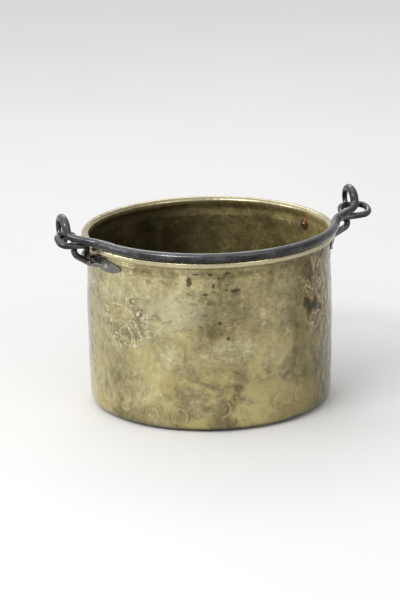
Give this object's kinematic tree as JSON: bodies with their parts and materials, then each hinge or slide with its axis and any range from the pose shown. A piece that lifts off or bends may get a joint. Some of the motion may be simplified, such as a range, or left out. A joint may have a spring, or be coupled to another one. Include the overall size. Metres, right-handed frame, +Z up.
{
  "type": "log holder",
  "caption": "Round hammered brass tub for fireside logs, with a rolled rim, forged iron ears on riveted leaf pads and a swinging iron bail handle.",
  "frame": {"origin": "centre of the tub's flat base, on the surface it stands on", "axes": "+Z up along the tub's axis, +X through the right ear, -Y towards the front where the bail lies"},
  "size_m": [0.521, 0.4062, 0.3222],
  "materials": {
    "brass": "hand hammered, polished with a worn brown patina",
    "iron": "forged, worn smooth and waxed",
    "copper": "dull copper"
  },
  "bodies": {
    "tub": {"tub": "brass", "rim_wire": "iron", "left_ear": "iron", "right_ear": "iron", "left_front_rivet": "iron", "left_back_rivet": "iron", "right_front_rivet": "iron", "right_back_rivet": "iron", "left_front_washer": "copper", "left_back_washer": "copper", "right_front_washer": "copper", "right_back_washer": "copper"},
    "bail": {"bail_handle": "iron"}
  },
  "joints": [
    {"name": "bail_swing", "type": "hinge", "parent": "tub", "child": "bail", "pos_m": [0, 0, 0.2885], "axis": [-1, 0, 0], "range_deg": [0, 170]}
  ]
}
